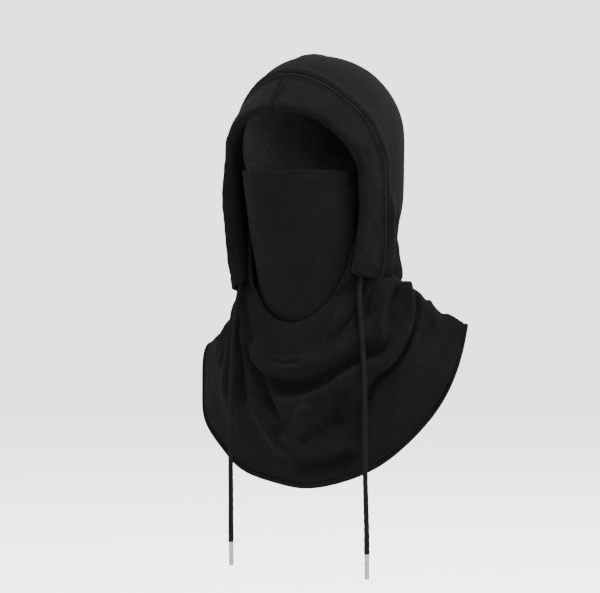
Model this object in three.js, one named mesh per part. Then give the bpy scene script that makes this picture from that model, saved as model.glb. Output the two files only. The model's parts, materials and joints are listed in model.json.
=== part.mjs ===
// A fleece balaclava: a lined hood, a gathered brim that holds a drawcord, a pull-down face mask
// and a shoulder cape. Millimetres, +Z up. The wearer faces -Y and the wearer's left is +X.
// The origin is the point of the crown's lining that rests on the top of the wearer's head.
import * as THREE from 'three';

// ---------------------------------------------------------------- driving dimensions, mm
const HEAD = {
  halfWidth: 88, // hood's half width over the ears
  centreY: 10,
  centreZ: -106,
  front: 122, // reach of the form from its centre, each way
  back: 108,
  up: 110,
  down: 265,
};
const NAPE = [106, -228]; // y, z where the hood's back seam meets the cape
const BRIM_SEAM = [[-49, -44], [-27, -85], [-8, -133], [-1, -186], [2, -226]]; // y, z down one side
const BRIM_SEAM_TOP = -43.6; // degrees from straight up, forwards negative
const BRIM_EDGE = [[-66, -76], [-49, -108], [-40, -143], [-38, -178], [-40, -220]];
const BRIM_EDGE_TOP = -62.8;

const FLEECE = 2; // thickness of the outer fabric
const LINING = 1.4;
const CAPE = 3; // cape fleece and its backing, bonded
const CLEAR = 0.5; // air between two layers
const SEAM_GAP = 0.3; // half the gap between two panels that meet at a seam

const BRIM_FOLD = 5.5; // radius of the brim's folded front edge
const BRIM_SKIN = 1.5;
const TUNNEL_PLACE = { left: 0.65, right: 0.8 }; // where the cord lies across each brim, from seam to edge
const CORD = 5; // drawcord diameter
const CORD_SIDES = 10;
const AGLET = { diameter: 5, length: 25 };

// The cape from its neckline down to its hem, as y and z at the front and the back, and x, y, z at the side.
const CAPE_FRONT = [[0, -49, -274], [0, -52, -316], [0, -48, -358], [0, -38, -402], [0, -26, -445]];
const CAPE_SIDE = [[74, 10, -228], [98, 20, -246], [122, 31, -262], [142, 38, -273], [157, 46, -285]];
const CAPE_BACK = [[0, 98, -230], [0, 108, -260], [0, 116, -298], [0, 123, -343], [0, 128, -390]];
const CHIN_BAND = 0.19; // share of the cape's depth taken by the band under the chin
const HEM_START = 0.955;

const MASK = {
  halfWidth: 60,
  depth: 50, // how far the sides lie behind the middle
  frontY: -82,
  topZ: -123,
  sideRise: 8, // the top edge is this much higher at the sides
  length: 180,
  slope: 14.1, // degrees that it leans back, which is also the way it slides
  skin: 1.2,
  lining: 1,
};

// Routes of the two free ends of the drawcord, from inside the brim's tunnel to the aglet.
const LEFT_CORD = [
  [72.9, -23.6, -192], [71, -23.8, -206], [68.9, -24, -220], [68.5, -28, -232], [70.4, -33, -245],
  [73, -36.8, -260], [75.5, -39.5, -278], [78, -41.5, -298], [80, -42.5, -320], [81.5, -44, -344],
  [82, -44.5, -370], [82, -44.5, -398], [82, -44, -426], [82.5, -43.5, -454], [83, -43, -480],
  [83, -42.5, -504],
];
const RIGHT_CORD = [
  [-71.7, -30.2, -192], [-69.8, -30.4, -206], [-67.7, -30.6, -220], [-68.6, -31.6, -232], [-70.2, -33.4, -245],
  [-71.8, -35.6, -260], [-73, -37.5, -278], [-73.6, -39.2, -298], [-74, -40.5, -320], [-74.2, -41.5, -344],
  [-74.4, -42, -370], [-74.5, -42, -398], [-74.5, -42, -426], [-74.5, -41.5, -454], [-74.5, -41.5, -480],
  [-74.5, -41, -503],
];

// ---------------------------------------------------------------- materials
const fabric = (color) => new THREE.MeshStandardMaterial({ color, roughness: 0.95, metalness: 0 });
const OUTER = fabric(0x232325);
const INNER = fabric(0x171718);
const FACE = fabric(0x1e1e20);
const KNIT = fabric(0x29292b);
const METAL = new THREE.MeshStandardMaterial({ color: 0xb9b4a8, roughness: 0.35, metalness: 0.9 });

// ---------------------------------------------------------------- general geometry
const point = (x, y, z) => new THREE.Vector3(x, y, z);
const points = (list) => list.map(([x, y, z]) => point(x, y, z));
const mix = (a, b, t) => a + (b - a) * t;
const radians = THREE.MathUtils.degToRad;
const steps = (from, to, count) => Array.from({ length: count + 1 }, (_, i) => mix(from, to, i / count));

// Turns a surface(u, v) into one that takes a height along its normal as well.
function raised(surface) {
  const h = 1e-4;
  return (u, v, height) => {
    const alongU = surface(u + h, v).sub(surface(u - h, v));
    const alongV = surface(u, v + h).sub(surface(u, v - h));
    return surface(u, v).addScaledVector(alongV.cross(alongU).normalize(), height);
  };
}

function signedVolume(vertices, triangles) {
  return triangles.reduce((sum, [a, b, c]) =>
    sum + vertices[a].dot(vertices[b].clone().cross(vertices[c])) / 6, 0);
}

function geometryOf(vertices, triangles) {
  const outwards = signedVolume(vertices, triangles) > 0;
  const ordered = triangles.map(([a, b, c]) => (outwards ? [a, b, c] : [a, c, b]));
  const geometry = new THREE.BufferGeometry().setFromPoints(vertices);
  geometry.setIndex(ordered.flat());
  geometry.computeVertexNormals();
  return geometry;
}

// A closed sheet of cloth on surface(u, v, height), between two heights.
function sheet(surface, us, vs, outer, inner) {
  const vertices = [outer, inner].flatMap((height) => us.flatMap((u) => vs.map((v) => surface(u, v, height))));
  const index = (layer, i, j) => (layer * us.length + i) * vs.length + j;
  const triangles = [];
  const quad = (a, b, c, d) => triangles.push([a, b, c], [a, c, d]);
  for (let i = 0; i + 1 < us.length; i++) {
    for (let j = 0; j + 1 < vs.length; j++) {
      quad(index(0, i, j), index(0, i + 1, j), index(0, i + 1, j + 1), index(0, i, j + 1));
      quad(index(1, i, j), index(1, i, j + 1), index(1, i + 1, j + 1), index(1, i + 1, j));
    }
    const last = vs.length - 1;
    quad(index(0, i, 0), index(1, i, 0), index(1, i + 1, 0), index(0, i + 1, 0));
    quad(index(0, i, last), index(0, i + 1, last), index(1, i + 1, last), index(1, i, last));
  }
  for (let j = 0; j + 1 < vs.length; j++) {
    const last = us.length - 1;
    quad(index(0, 0, j), index(0, 0, j + 1), index(1, 0, j + 1), index(1, 0, j));
    quad(index(0, last, j), index(1, last, j), index(1, last, j + 1), index(0, last, j + 1));
  }
  return geometryOf(vertices, triangles);
}

function mirrored(geometry) {
  const copy = (geometry.index ? geometry.toNonIndexed() : geometry.clone()).scale(-1, 1, 1);
  const places = copy.getAttribute('position');
  for (let i = 0; i < places.count; i += 3) {
    const second = point().fromBufferAttribute(places, i + 1);
    const third = point().fromBufferAttribute(places, i + 2);
    places.setXYZ(i + 1, ...third);
    places.setXYZ(i + 2, ...second);
  }
  copy.computeVertexNormals();
  return copy;
}

function tube(curve, radius, sides, count) {
  const corner = (i) => new THREE.Vector2(Math.cos((i * 2 * Math.PI) / sides), Math.sin((i * 2 * Math.PI) / sides))
    .multiplyScalar(radius);
  const section = new THREE.Shape(Array.from({ length: sides }, (_, i) => corner(i)));
  return new THREE.ExtrudeGeometry(section, { steps: count, extrudePath: curve, bevelEnabled: false });
}

// ---------------------------------------------------------------- the head form
// A place on one side of the hood is a point (p, q) of a half-round chart seen from that side: the ear
// is at its middle, straight up is +q, backwards is +p, and the rim, at distance 1, is the centre plane.
function profileReach(angle) {
  const up = Math.cos(angle);
  const back = Math.sin(angle);
  const power = up > 0 ? 2.2 : 2; // the crown is a little fuller than an ellipse
  const heightReach = up > 0 ? HEAD.up : HEAD.down;
  const depthReach = back > 0 ? HEAD.back : HEAD.front;
  return ((Math.abs(up) / heightReach) ** power + (Math.abs(back) / depthReach) ** power) ** (-1 / power);
}

function chartFromAngle(degrees, distance = 1) {
  return new THREE.Vector2(Math.sin(radians(degrees)), Math.cos(radians(degrees))).multiplyScalar(distance);
}

function chartFromPlace([y, z]) {
  const angle = Math.atan2(y - HEAD.centreY, z - HEAD.centreZ);
  const share = Math.hypot(y - HEAD.centreY, z - HEAD.centreZ) / profileReach(angle);
  return chartFromAngle(THREE.MathUtils.radToDeg(angle), Math.asin(Math.min(share, 1)) / (Math.PI / 2));
}

const RIM = 1 - (SEAM_GAP / HEAD.halfWidth) / (Math.PI / 2); // keeps the rim short of the centre by the seam gap

function headPoint(chart, grow = 0) {
  const distance = chart.length() * RIM * (Math.PI / 2);
  const angle = Math.atan2(chart.x, chart.y);
  const reach = (profileReach(angle) + grow) * Math.sin(distance);
  return point((HEAD.halfWidth + grow) * Math.cos(distance),
    HEAD.centreY + reach * Math.sin(angle), HEAD.centreZ + reach * Math.cos(angle));
}

// A line down one side of the hood that starts square to the centre plane.
function sideLine(topAngle, places) {
  const chart = [chartFromAngle(topAngle), chartFromAngle(topAngle, 0.93), ...places.map(chartFromPlace)];
  return new THREE.CatmullRomCurve3(chart.map((c) => point(c.x, c.y, 0)));
}
const seamLine = sideLine(BRIM_SEAM_TOP, BRIM_SEAM);
const edgeLine = sideLine(BRIM_EDGE_TOP, BRIM_EDGE);
const onLine = (line, u) => {
  const place = line.getPoint(THREE.MathUtils.clamp(u, 0, 1));
  return new THREE.Vector2(place.x, place.y);
};

// ---------------------------------------------------------------- hood
// The panel's four borders on the chart: brim seam, back seam, crown seam and the edge over the neck.
const CROWN_CORNER = 55; // degrees where the crown border hands over to the back border
const NAPE_ANGLE = THREE.MathUtils.radToDeg(Math.atan2(NAPE[0] - HEAD.centreY, NAPE[1] - HEAD.centreZ));

function hoodChart(u, v) {
  const front = onLine(seamLine, u);
  const back = chartFromAngle(mix(CROWN_CORNER, NAPE_ANGLE, u));
  const crown = chartFromAngle(mix(BRIM_SEAM_TOP, CROWN_CORNER, v));
  const lower = BRIM_SEAM.at(-1);
  const neck = chartFromPlace([mix(lower[0], NAPE[0], v), mix(lower[1], NAPE[1], v)]);
  const corner = (a, b, weight) => hoodCorners[a][b].clone().multiplyScalar(-weight);
  return front.multiplyScalar(1 - v).add(back.multiplyScalar(v))
    .add(crown.multiplyScalar(1 - u)).add(neck.multiplyScalar(u))
    .add(corner(0, 0, (1 - u) * (1 - v))).add(corner(0, 1, (1 - u) * v))
    .add(corner(1, 0, u * (1 - v))).add(corner(1, 1, u * v));
}
const hoodCorners = [
  [chartFromAngle(BRIM_SEAM_TOP), chartFromAngle(CROWN_CORNER)],
  [chartFromPlace(BRIM_SEAM.at(-1)), chartFromAngle(NAPE_ANGLE)],
];

function hoodPanel(outer, inner, behindSeam) {
  const surface = (u, v, height) => headPoint(hoodChart(u, v), height);
  return sheet(surface, steps(0.004, 1, 15), steps(behindSeam, 1, 11), outer, inner);
}

function crownSeam() {
  const halfWidth = 3;
  const surface = (u, v, height) => {
    const across = mix(-halfWidth, halfWidth, v);
    const distance = Math.acos(Math.abs(across) / HEAD.halfWidth) / (Math.PI / 2);
    return headPoint(chartFromAngle(mix(BRIM_SEAM_TOP + 4, NAPE_ANGLE - 2, u), distance), height).setX(across);
  };
  return sheet(surface, steps(0, 1, 26), [0, 1], 1.4, 0.4);
}

// ---------------------------------------------------------------- brim, a folded strip open at its seam
function brimFrame(u) {
  const seam = headPoint(onLine(seamLine, u));
  const edge = headPoint(onLine(edgeLine, u));
  const between = onLine(seamLine, u).lerp(onLine(edgeLine, u), 0.5);
  const across = edge.clone().sub(seam);
  const width = across.length();
  across.normalize();
  const out = headPoint(between, 1).sub(headPoint(between));
  out.addScaledVector(across, -out.dot(across)).normalize();
  return { seam, across, out, width };
}

// s runs from 0 at the seam, by 1 where the fold starts and 2 where it ends, to 3 back at the seam inside.
function brimPoint(u, s) {
  const { seam, across, out, width } = brimFrame(u);
  const flatStart = 1.5;
  const flatEnd = width - BRIM_FOLD;
  let along = mix(flatStart, flatEnd, s);
  let height = 0;
  if (s > 2) {
    along = mix(flatEnd, flatStart, s - 2);
    height = -2 * BRIM_FOLD;
  } else if (s > 1) {
    const turn = (s - 1) * Math.PI;
    along = flatEnd + BRIM_FOLD * Math.sin(turn);
    height = BRIM_FOLD * (Math.cos(turn) - 1);
  }
  return seam.addScaledVector(across, along).addScaledVector(out, height);
}

function brim() {
  const folds = [0, 0.5, 1, 1.2, 1.4, 1.6, 1.8, 2, 2.5, 3];
  return sheet(raised(brimPoint), steps(0.004, 1, 20), folds, 0, -BRIM_SKIN);
}

function seamWelt() {
  const radius = 1.4;
  const along = steps(0.02, 0.98, 20).map((u) => {
    const { seam, out } = brimFrame(u);
    return seam.addScaledVector(out, radius + 1);
  });
  return tube(new THREE.CatmullRomCurve3(along), radius, 8, 24);
}

// ---------------------------------------------------------------- cape
const capeFront = new THREE.CatmullRomCurve3(points(CAPE_FRONT));
const capeSide = new THREE.CatmullRomCurve3(points(CAPE_SIDE));
const capeBack = new THREE.CatmullRomCurve3(points(CAPE_BACK));

// angle is 0 at the front and 90 on the wearer's left; depth is 0 at the neckline and 1 at the hem.
function capePoint(angle, depth) {
  const sine = Math.sin(radians(angle));
  const cosine = Math.cos(radians(angle));
  const squareness = mix(0.95, 1, Math.min(depth * 2, 1));
  const dip = 1.4 + 2.1 * (1 - THREE.MathUtils.clamp(depth, 0, 1)) ** 8; // the neckline dips only at the chin
  const middle = (cosine > 0 ? capeFront : capeBack).getPoint(THREE.MathUtils.clamp(depth, 0, 1));
  const flank = capeSide.getPoint(THREE.MathUtils.clamp(depth, 0, 1));
  return point(flank.x * Math.sign(sine) * Math.abs(sine) ** squareness,
    mix(flank.y, middle.y, Math.abs(cosine) ** squareness),
    mix(flank.z, middle.z, Math.abs(cosine) ** dip));
}

const HALF = 89.2; // degrees to the side seams, a little short of them
const HEM_HALF = 88; // the folded hem stops sooner, clear of the seam allowance
const capePart = (from, to, top, bottom, rows, outer, inner) =>
  sheet(raised(capePoint), steps(from, to, 22), steps(top, bottom, rows), outer, inner);

// ---------------------------------------------------------------- mask
const SLIDE = point(0, Math.sin(radians(MASK.slope)), -Math.cos(radians(MASK.slope)));

function maskPoint(angle, down) {
  const sine = Math.sin(radians(angle));
  const cosine = Math.cos(radians(angle));
  const top = point(MASK.halfWidth * sine, MASK.frontY + MASK.depth * (1 - cosine),
    MASK.topZ + MASK.sideRise * sine ** 2);
  return top.addScaledVector(SLIDE, MASK.length * down);
}
const maskPart = (top, bottom, rows, outer, inner) =>
  sheet(raised(maskPoint), steps(-84, 84, 16), steps(top, bottom, rows), outer, inner);

// ---------------------------------------------------------------- drawcord
const routeOf = (list) => new THREE.CatmullRomCurve3(points(list));

function freeCord(list) {
  return tube(routeOf(list), CORD / 2, CORD_SIDES, 28);
}

// The middle line of the stretch that one side of the brim holds, from the crown down.
function heldRoute(place, side) {
  return steps(0.012, 0.872, 16).map((u) => {
    const { seam, across, out, width } = brimFrame(u);
    const crownPlace = (TUNNEL_PLACE.left + TUNNEL_PLACE.right) / 2;
    const along = mix(crownPlace, place, u) * width;
    return seam.addScaledVector(across, along).addScaledVector(out, -BRIM_FOLD).multiply(point(side, 1, 1));
  });
}

function heldCord() {
  const route = [...heldRoute(TUNNEL_PLACE.left, 1).reverse(), ...heldRoute(TUNNEL_PLACE.right, -1)];
  return tube(new THREE.CatmullRomCurve3(route), CORD / 2, CORD_SIDES, 40);
}

function aglet(list) {
  const curve = routeOf(list);
  const direction = curve.getTangent(1);
  const radius = AGLET.diameter / 2;
  const lip = 0.5;
  const outline = [[0, 0], [radius - lip, 0], [radius, lip], [radius, AGLET.length - lip],
    [radius - lip, AGLET.length], [0, AGLET.length]];
  const geometry = new THREE.LatheGeometry(outline.map(([r, h]) => new THREE.Vector2(r, h)), 16);
  const turn = new THREE.Quaternion().setFromUnitVectors(point(0, 1, 0), direction);
  const start = curve.getPoint(1).addScaledVector(direction, 0.3);
  return geometry.applyQuaternion(turn).translate(start.x, start.y, start.z);
}

// ---------------------------------------------------------------- assembly
const balaclava = new THREE.Group();

function add(name, material, geometry) {
  const mesh = new THREE.Mesh(geometry, material);
  mesh.name = name;
  balaclava.add(mesh);
}

function addPair(name, material, geometry) {
  add(`${name}_left`, material, geometry);
  add(`${name}_right`, material, mirrored(geometry));
}

const liningTop = -FLEECE - CLEAR;
addPair('hood', OUTER, hoodPanel(0, -FLEECE, 0.012));
addPair('hood_lining', INNER, hoodPanel(liningTop, liningTop - LINING, 0.03));
add('crown_seam', OUTER, crownSeam());
addPair('brim', OUTER, brim());
addPair('seam_welt', OUTER, seamWelt());

const hemTop = -CAPE - CLEAR;
add('chin_band', OUTER, capePart(-HALF, HALF, 0, CHIN_BAND, 3, 0, -CAPE));
add('cape_front', OUTER, capePart(-HALF, HALF, CHIN_BAND + 0.01, 1, 7, 0, -CAPE));
add('cape_back', OUTER, capePart(180 - HALF, 180 + HALF, 0, 1, 8, 0, -CAPE));
add('cape_hem_front', OUTER, capePart(-HEM_HALF, HEM_HALF, HEM_START, 1, 1, hemTop, hemTop - FLEECE));
add('cape_hem_back', OUTER, capePart(180 - HEM_HALF, 180 + HEM_HALF, HEM_START, 1, 1, hemTop, hemTop - FLEECE));
add('nape_elastic', KNIT, capePart(115, 245, 0.005, 0.06, 1, hemTop - CLEAR, hemTop - CLEAR - 1));

const maskLiningTop = -MASK.skin - CLEAR;
add('mask_front', FACE, maskPart(0, 1, 7, 0, -MASK.skin));
add('mask_lining', FACE, maskPart(0.01, 0.99, 7, maskLiningTop, maskLiningTop - MASK.lining));
add('mask_top_hem', FACE, maskPart(0, 0.05, 1, 1.4, 0.4));

add('drawcord_left', KNIT, freeCord(LEFT_CORD));
add('drawcord_right', KNIT, freeCord(RIGHT_CORD));
add('drawcord_held', KNIT, heldCord());
add('aglet_left', METAL, aglet(LEFT_CORD));
add('aglet_right', METAL, aglet(RIGHT_CORD));

export default balaclava;
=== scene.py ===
"""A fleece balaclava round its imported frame: hood, brim, drawcord, mask and cape. Metres, +Z up."""
import json
import math

import bpy
import numpy as np
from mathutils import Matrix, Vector


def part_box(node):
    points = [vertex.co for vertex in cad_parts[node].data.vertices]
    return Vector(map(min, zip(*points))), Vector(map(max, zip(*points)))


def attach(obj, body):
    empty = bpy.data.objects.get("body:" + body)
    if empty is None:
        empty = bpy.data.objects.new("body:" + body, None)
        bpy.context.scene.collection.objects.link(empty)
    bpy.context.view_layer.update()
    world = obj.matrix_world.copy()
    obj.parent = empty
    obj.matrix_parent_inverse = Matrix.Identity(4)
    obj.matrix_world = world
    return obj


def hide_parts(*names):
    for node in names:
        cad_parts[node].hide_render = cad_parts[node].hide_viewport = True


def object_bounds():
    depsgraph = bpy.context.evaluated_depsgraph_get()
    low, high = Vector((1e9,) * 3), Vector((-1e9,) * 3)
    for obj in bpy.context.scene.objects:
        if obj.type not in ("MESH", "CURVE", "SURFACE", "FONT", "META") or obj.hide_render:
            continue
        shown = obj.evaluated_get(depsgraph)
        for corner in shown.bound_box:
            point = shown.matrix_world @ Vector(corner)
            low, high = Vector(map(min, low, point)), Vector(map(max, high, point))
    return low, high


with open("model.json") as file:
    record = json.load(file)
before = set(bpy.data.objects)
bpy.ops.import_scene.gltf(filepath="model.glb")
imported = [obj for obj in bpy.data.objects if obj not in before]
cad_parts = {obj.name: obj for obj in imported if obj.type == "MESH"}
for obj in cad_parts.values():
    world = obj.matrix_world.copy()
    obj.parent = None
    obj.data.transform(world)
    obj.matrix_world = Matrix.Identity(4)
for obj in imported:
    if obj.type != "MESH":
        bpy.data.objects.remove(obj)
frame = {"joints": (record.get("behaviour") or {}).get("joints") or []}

CAD_BOX = [list(corner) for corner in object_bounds()]
MM = 0.001
GARMENT = "hood_and_cape"  # the body that everything but the mask and the cord's ends rides on

# ------------------------------------------------------------------ sizes, starting from the frame's
HALF_WIDTH, HOOD_BACK, HOOD_TOP = (float(size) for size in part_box("hood_left")[1])
FRONT, BACK, UP, DOWN = 122 * MM, 108 * MM, 110 * MM, 265 * MM  # reaches of the head form from its centre
CENTRE_Y = HOOD_BACK - BACK
CENTRE_Z = HOOD_TOP - UP
BRIM_SEAM_TOP, BRIM_EDGE_TOP = -48.5, -67.5  # degrees from straight up, where the lines meet over the crown
BRIM_SEAM_TEMPLE, BRIM_EDGE_TEMPLE = -51.0, -71.0  # and over the temples
BRIM_SEAM = [(-29, -83), (-8, -133), (-1, -186), (2, -226)]  # y and z in mm, down one side
BRIM_EDGE = [(-50, -108), (-40, -143), (-38, -178), (-40, -220)]
NAPE = (106, -228)  # y and z in mm, where the back of the hood ends
HOOD_CORNER = (2, -233)  # where the hood's lower edge meets the brim, a little below the neckline
LEAN = 20 * MM  # how far back the crown leans when the hood is worn
STAND = 4 * MM  # and how much higher it stands
CHEEK = 7.5 * MM  # how far the wearer's right cheek pushes the hood out

# Profiles of the cape from the neckline to the hem, as x, y and z in mm: front, one side and back.
CAPE_FRONT = [(0, -49, -274), (0, -52, -316), (0, -48, -358), (0, -38, -402), (0, -26, -445)]
CAPE_SIDE = [(75, 10, -227), (99, 20, -243), (120, 31, -260), (140, 39, -271), (161, 47, -284)]
CAPE_BACK = [(0, 98, -230), (0, 108, -260), (0, 116, -298), (0, 123, -343), (0, 128, -390)]
CHIN_BAND = 0.19  # the share of the front cape's depth that the chin band takes
HEM = 8 * MM  # from the cape's edge to the hem's stitches
RIGHT_DROP = 16 * MM  # how much lower the cape lies on the wearer's right shoulder
RIGHT_NECK_DROP = 7 * MM  # and how much more, about a quarter of the way down
LEFT_RISE = 5.5 * MM  # how much higher it lies on the left one

# The drawcord's free ends, the same routes as in the CAD, in mm.
LEFT_CORD = [
    (72.9, -23.6, -192), (71, -23.8, -206), (68.9, -24, -220), (68.5, -28, -232),
    (70.4, -33, -245), (73, -36.8, -260), (75.5, -39.5, -278), (78, -41.5, -298),
    (80, -42.5, -320), (81.5, -44, -344), (82, -44.5, -370), (82, -44.5, -398),
    (82, -44, -426), (82.5, -43.5, -454), (83, -43, -480), (83, -42.5, -504),
]
RIGHT_CORD = [
    (-71.7, -30.2, -192), (-69.8, -30.4, -206), (-67.7, -30.6, -220), (-68.6, -31.6, -232),
    (-70.2, -33.4, -245), (-71.8, -35.6, -260), (-73, -37.5, -278), (-73.6, -39.2, -298),
    (-74, -40.5, -320), (-74.2, -41.5, -344), (-74.4, -42, -370), (-74.5, -42, -398),
    (-74.5, -42, -426), (-74.5, -41.5, -454), (-74.5, -41.5, -480), (-74.5, -41, -503),
]

# Places inside the garment that its outer faces look away from.
INSIDE_HOOD = (0, 0.02, -0.2)
INSIDE_LINING = (0, 0.02, -0.15)
INSIDE_MASK = (0, 0.03, -0.2)
INSIDE_NECK = (0, 0.03, -0.24)
INSIDE_CAPE = (0, 0.03, -0.3)


# ------------------------------------------------------------------ mathematics
def spline(points, where):
    """Points along a centripetal Catmull-Rom curve, where = 0 at its first point and 1 at its last."""
    given = np.asarray(points, float)
    last = len(given) - 1
    t = np.clip(np.asarray(where, float), 0, 1) * last
    i = np.minimum(t.astype(int), last - 1)
    w = (t - i)[..., None]
    padded = np.vstack([2 * given[0] - given[1], given, 2 * given[-1] - given[-2]])
    a, b, c, d = (padded[i + k] for k in range(4))

    def knot(p, q):
        return np.maximum(np.linalg.norm(q - p, axis=-1, keepdims=True) ** 0.5, 1e-6)

    k0, k1, k2 = knot(a, b), knot(b, c), knot(c, d)
    slope_b = ((b - a) / k0 - (c - a) / (k0 + k1) + (c - b) / k1) * k1
    slope_c = ((c - b) / k1 - (d - b) / (k1 + k2) + (d - c) / k2) * k1
    return b + slope_b * w + (-3 * b + 3 * c - 2 * slope_b - slope_c) * w ** 2 \
        + (2 * b - 2 * c + slope_b + slope_c) * w ** 3


def bell(distance, width):
    """1 at a distance of 0, and small beyond about twice the width."""
    return np.exp(-(distance / width) ** 2)


def smooth(value, start, end):
    """0 before the start, 1 past the end, and a soft step between. It may run either way."""
    t = np.clip((value - start) / (end - start), 0, 1)
    return t * t * (3 - 2 * t)


def unit(vectors):
    return vectors / np.maximum(np.linalg.norm(vectors, axis=-1, keepdims=True), 1e-12)


def grid_normals(points, outwards_from):
    """Unit normals of a grid of points, pointing away from a place."""
    along_u = np.gradient(points, axis=0)
    along_v = np.gradient(points, axis=1)
    normals = unit(np.cross(along_u, along_v))
    middle = tuple(n // 2 for n in points.shape[:2])
    away = points[middle] - np.asarray(outwards_from)
    return normals * np.sign((normals[middle] * away).sum())


def waves(a, b, seed):
    """A gentle, repeatable unevenness between -1 and 1 over two coordinates."""
    rng = np.random.default_rng(seed)
    total = np.zeros(np.broadcast(a, b).shape)
    for _ in range(7):
        fa, fb = rng.normal(0, 1, 2)
        total = total + np.sin(fa * a + fb * b + rng.uniform(0, 2 * math.pi))
    return total / 7


def fold_height(across, down, fold):
    """How far one fold lifts the cloth at places (across, down), in metres.

    A fold is its height in mm, the widths of its two sides in mm, and its course over the cloth.
    """
    height, first_width, second_width, course = fold
    line = spline(course, np.linspace(0, 1, 40))
    widest = 2.6 * max(first_width, second_width) * MM
    near = (across > line[:, 0].min() - widest) & (across < line[:, 0].max() + widest) \
        & (down > line[:, 1].min() - widest) & (down < line[:, 1].max() + widest)
    here = np.stack([across[near], down[near]], -1)
    nearest = np.full(len(here), np.inf)
    side = np.zeros(len(here))
    along = np.zeros(len(here))
    for i, (start, end) in enumerate(zip(line[:-1], line[1:])):
        step = end - start
        share = np.clip(((here - start) @ step) / (step @ step), 0, 1)
        offset = here - start - share[:, None] * step
        distance = np.linalg.norm(offset, axis=1)
        closer = distance < nearest
        nearest = np.where(closer, distance, nearest)
        side = np.where(closer, step[0] * offset[:, 1] - step[1] * offset[:, 0], side)
        along = np.where(closer, (i + share) / (len(line) - 1), along)
    width = np.where(side > 0, first_width, second_width) * MM
    fade = smooth(along, -0.05, 0.2) * smooth(along, 1.05, 0.8)
    lift = np.zeros(across.shape)
    lift[near] = height * MM * bell(nearest, width) * fade
    return lift


def relaxed(values, passes):
    """The same field, smoothed, because cloth bends gently."""
    for _ in range(passes):
        padded = np.pad(values, 1, mode="edge")
        neighbours = padded[:-2, 1:-1] + padded[2:, 1:-1] + padded[1:-1, :-2] + padded[1:-1, 2:]
        values = values * 0.5 + neighbours * 0.125
    return values


def lengths_along(path):
    """The distance from a path's start to each of its points."""
    return np.concatenate([[0], np.cumsum(np.linalg.norm(np.diff(path, axis=0), axis=1))])


def at_spacing(path, values, spacing):
    """Values given at a path's points, read off at even distances along it."""
    lengths = lengths_along(path)
    wanted = np.arange(0, lengths[-1], spacing)
    return np.stack([np.interp(wanted, lengths, values[:, k]) for k in range(3)], -1)


# ------------------------------------------------------------------ the head form
# A chart lays one side of the hood out flat round the ear. Its directions are angles from straight up,
# growing backwards, and its distance is 0 at the side of the head and 1 at the centre plane.
def reach(angle):
    """How far the head form's outline is from its centre in a direction, seen from the side."""
    up, back = np.cos(angle), np.sin(angle)
    power = np.where(up > 0, 2.2, 2.0)
    height = np.where(up > 0, UP, DOWN)
    depth = np.where(back > 0, BACK, FRONT)
    return ((np.abs(up) / height) ** power + (np.abs(back) / depth) ** power) ** (-1 / power)


def chart_angle(degrees, distance=1.0):
    """A chart place by its direction and distance."""
    angle = np.radians(degrees)
    return np.stack([np.sin(angle) * distance, np.cos(angle) * distance], -1)


def chart_place(y, z):
    """The chart place that lies at a height and depth in mm on the head form."""
    dy, dz = y * MM - CENTRE_Y, z * MM - CENTRE_Z
    angle = np.arctan2(dy, dz)
    share = np.hypot(dy, dz) / reach(angle)
    return chart_angle(np.degrees(angle), np.arcsin(np.minimum(share, 1)) / (math.pi / 2))


def head_point(chart, lift=0.0):
    """The point of a chart place, a lift away from the head form, on the wearer's left."""
    distance = np.hypot(chart[..., 0], chart[..., 1]) * math.pi / 2
    angle = np.arctan2(chart[..., 0], chart[..., 1])
    out = (reach(angle) + lift) * np.sin(distance)
    return np.stack([(HALF_WIDTH + lift) * np.cos(distance), CENTRE_Y + out * np.sin(angle),
                     CENTRE_Z + out * np.cos(angle)], -1)


def worn(points, side):
    """Points of the hood on one side, as the hood sits when worn: its crown stands up and leans back."""
    placed = points * np.array([side, 1, 1])
    z = placed[..., 2]
    placed[..., 1] += LEAN * smooth(z, -0.105, -0.03)
    placed[..., 2] += STAND * smooth(z, -0.06, -0.01)
    return placed


def cheek(z, label):
    """How far a cheek pushes the hood and the outside of the brim out: only the wearer's right one does."""
    return CHEEK * smooth(z, -0.075, -0.13) if label == "right" else np.zeros_like(z)


def side_line(top, temple, places):
    """A line from the crown to the neck: its angles over the crown and temple, then places in mm."""
    over_crown = [chart_angle(top), chart_angle(top, 0.93), chart_angle(temple, 0.6)]
    return np.array(over_crown + [chart_place(y, z) for y, z in places])


NAPE_ANGLE = math.degrees(math.atan2(NAPE[0] * MM - CENTRE_Y, NAPE[1] * MM - CENTRE_Z))
CROWN_CORNER = 55.0  # the angle at which a hood panel's upper edge becomes its back edge
SEAM_LINE = side_line(BRIM_SEAM_TOP, BRIM_SEAM_TEMPLE, BRIM_SEAM)
HOOD_SEAM = np.vstack([SEAM_LINE, [chart_place(*HOOD_CORNER)]])
EDGE_LINE = side_line(BRIM_EDGE_TOP, BRIM_EDGE_TEMPLE, BRIM_EDGE)


def hood_chart(u, v):
    """A patch between the brim seam, the back seam, the crown seam and the edge over the neck."""
    front = spline(HOOD_SEAM, u)
    back = chart_angle(CROWN_CORNER + (NAPE_ANGLE - CROWN_CORNER) * u)
    crown = chart_angle(BRIM_SEAM_TOP + (CROWN_CORNER - BRIM_SEAM_TOP) * v)
    lower = HOOD_CORNER
    neck = chart_place(lower[0] + (NAPE[0] - lower[0]) * v, lower[1] + (NAPE[1] - lower[1]) * v)
    u, v = u[..., None], v[..., None]
    corners = (1 - u) * (1 - v) * chart_angle(BRIM_SEAM_TOP) + (1 - u) * v * chart_angle(CROWN_CORNER) \
        + u * (1 - v) * chart_place(*lower) + u * v * chart_angle(NAPE_ANGLE)
    return front * (1 - v) + back * v + crown * (1 - u) + neck * u - corners


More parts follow.
